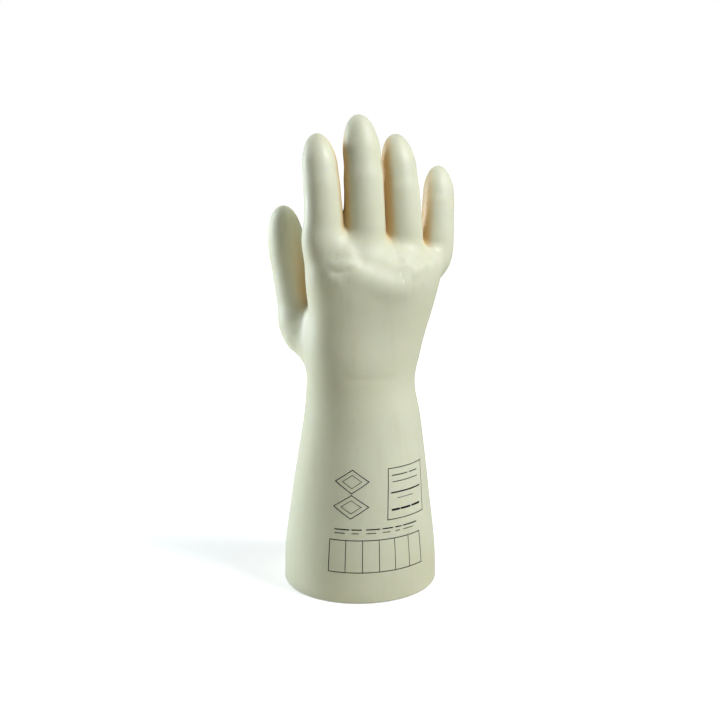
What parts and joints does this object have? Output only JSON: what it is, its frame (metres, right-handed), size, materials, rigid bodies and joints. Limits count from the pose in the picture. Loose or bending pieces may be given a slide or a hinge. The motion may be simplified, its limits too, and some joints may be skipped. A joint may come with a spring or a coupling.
{
  "type": "electrical insulating glove",
  "caption": "Right-hand insulating glove of dipped natural rubber with a long flared cuff, standing on its open end. Wrist, fingers and thumb bend and spring back.",
  "frame": {"origin": "middle of the glove's bounding box, at the level of the cuff's open end, which the glove stands on", "axes": "+Z from the cuff up to the fingertips, -Y out of the back of the hand, +Y out of the palm, -X to the thumb's side, +X to the little finger's side"},
  "size_m": [0.1274, 0.11, 0.3364],
  "materials": {
    "latex": "smooth, dull sheen, ivory natural latex"
  },
  "bodies": {
    "cuff": {"cuff": "latex", "wrist_fold": "latex"},
    "hand": {"hand": "latex", "thumb_base_fold": "latex", "index_finger_base_fold": "latex", "middle_finger_base_fold": "latex", "ring_finger_base_fold": "latex", "little_finger_base_fold": "latex"},
    "index_finger_base": {"index_finger_base": "latex", "index_finger_middle_fold": "latex"},
    "index_finger_middle": {"index_finger_middle": "latex", "index_finger_tip_fold": "latex"},
    "index_finger_tip": {"index_finger_tip": "latex"},
    "middle_finger_base": {"middle_finger_base": "latex", "middle_finger_middle_fold": "latex"},
    "middle_finger_middle": {"middle_finger_middle": "latex", "middle_finger_tip_fold": "latex"},
    "middle_finger_tip": {"middle_finger_tip": "latex"},
    "ring_finger_base": {"ring_finger_base": "latex", "ring_finger_middle_fold": "latex"},
    "ring_finger_middle": {"ring_finger_middle": "latex", "ring_finger_tip_fold": "latex"},
    "ring_finger_tip": {"ring_finger_tip": "latex"},
    "little_finger_base": {"little_finger_base": "latex", "little_finger_middle_fold": "latex"},
    "little_finger_middle": {"little_finger_middle": "latex", "little_finger_tip_fold": "latex"},
    "little_finger_tip": {"little_finger_tip": "latex"},
    "thumb_base": {"thumb_base": "latex", "thumb_tip_fold": "latex"},
    "thumb_tip": {"thumb_tip": "latex"}
  },
  "joints": [
    {"name": "wrist_bend", "type": "hinge", "parent": "cuff", "child": "hand", "pos_m": [-0.00727, 0, 0.15], "axis": [-1, 0, 0], "range_deg": [-20, 30], "stiffness_Nm_per_rad": 6, "deforming": ["wrist_fold"]},
    {"name": "index_finger_base_bend", "type": "hinge", "parent": "hand", "child": "index_finger_base", "pos_m": [-0.03732, -0.0059, 0.26901], "axis": [-0.9999, 0, 0.0156], "range_deg": [-15, 50], "stiffness_Nm_per_rad": 0.4, "deforming": ["index_finger_base_fold"]},
    {"name": "index_finger_middle_bend", "type": "hinge", "parent": "index_finger_base", "child": "index_finger_middle", "pos_m": [-0.03702, -0.00192, 0.28821], "axis": [-0.9999, 0, 0.0156], "range_deg": [-8, 55], "stiffness_Nm_per_rad": 0.35, "deforming": ["index_finger_middle_fold"]},
    {"name": "index_finger_tip_bend", "type": "hinge", "parent": "index_finger_middle", "child": "index_finger_tip", "pos_m": [-0.03677, 0.00337, 0.30401], "axis": [-0.9999, 0, 0.0156], "range_deg": [-6, 40], "stiffness_Nm_per_rad": 0.25, "deforming": ["index_finger_tip_fold"]},
    {"name": "middle_finger_base_bend", "type": "hinge", "parent": "hand", "child": "middle_finger_base", "pos_m": [-0.0084, -0.00918, 0.26815], "axis": [-0.9996, 0, 0.0269], "range_deg": [-15, 50], "stiffness_Nm_per_rad": 0.4, "deforming": ["middle_finger_base_fold"]},
    {"name": "middle_finger_middle_bend", "type": "hinge", "parent": "middle_finger_base", "child": "middle_finger_middle", "pos_m": [-0.00776, -0.00525, 0.29195], "axis": [-0.9996, 0, 0.0269], "range_deg": [-8, 55], "stiffness_Nm_per_rad": 0.35, "deforming": ["middle_finger_middle_fold"]},
    {"name": "middle_finger_tip_bend", "type": "hinge", "parent": "middle_finger_middle", "child": "middle_finger_tip", "pos_m": [-0.00721, 0.00053, 0.31231], "axis": [-0.9996, 0, 0.0269], "range_deg": [-6, 40], "stiffness_Nm_per_rad": 0.25, "deforming": ["middle_finger_tip_fold"]},
    {"name": "ring_finger_base_bend", "type": "hinge", "parent": "hand", "child": "ring_finger_base", "pos_m": [0.02106, -0.00704, 0.26359], "axis": [-1, 0, 0.0029], "range_deg": [-15, 50], "stiffness_Nm_per_rad": 0.4, "deforming": ["ring_finger_base_fold"]},
    {"name": "ring_finger_middle_bend", "type": "hinge", "parent": "ring_finger_base", "child": "ring_finger_middle", "pos_m": [0.02112, -0.00321, 0.28436], "axis": [-1, 0, 0.0029], "range_deg": [-8, 55], "stiffness_Nm_per_rad": 0.35, "deforming": ["ring_finger_middle_fold"]},
    {"name": "ring_finger_tip_bend", "type": "hinge", "parent": "ring_finger_middle", "child": "ring_finger_tip", "pos_m": [0.02117, 0.00213, 0.30172], "axis": [-1, 0, 0.0029], "range_deg": [-6, 40], "stiffness_Nm_per_rad": 0.25, "deforming": ["ring_finger_tip_fold"]},
    {"name": "little_finger_base_bend", "type": "hinge", "parent": "hand", "child": "little_finger_base", "pos_m": [0.04976, -0.00184, 0.25588], "axis": [-0.991, 0, 0.134], "range_deg": [-15, 50], "stiffness_Nm_per_rad": 0.28, "deforming": ["little_finger_base_fold"]},
    {"name": "little_finger_middle_bend", "type": "hinge", "parent": "little_finger_base", "child": "little_finger_middle", "pos_m": [0.05187, 0.00157, 0.2715], "axis": [-0.991, 0, 0.134], "range_deg": [-8, 55], "stiffness_Nm_per_rad": 0.245, "deforming": ["little_finger_middle_fold"]},
    {"name": "little_finger_tip_bend", "type": "hinge", "parent": "little_finger_middle", "child": "little_finger_tip", "pos_m": [0.05355, 0.00576, 0.2839], "axis": [-0.991, 0, 0.134], "range_deg": [-6, 40], "stiffness_Nm_per_rad": 0.175, "deforming": ["little_finger_tip_fold"]},
    {"name": "thumb_base_bend", "type": "hinge", "parent": "hand", "child": "thumb_base", "pos_m": [-0.04121, 0.03352, 0.20704], "axis": [0, 0.9818, -0.19], "range_deg": [-20, 42], "stiffness_Nm_per_rad": 0.6, "deforming": ["thumb_base_fold"]},
    {"name": "thumb_tip_bend", "type": "hinge", "parent": "thumb_base", "child": "thumb_tip", "pos_m": [-0.04497, 0.03896, 0.23511], "axis": [0, 0.9818, -0.19], "range_deg": [-10, 55], "stiffness_Nm_per_rad": 0.4, "deforming": ["thumb_tip_fold"]}
  ]
}
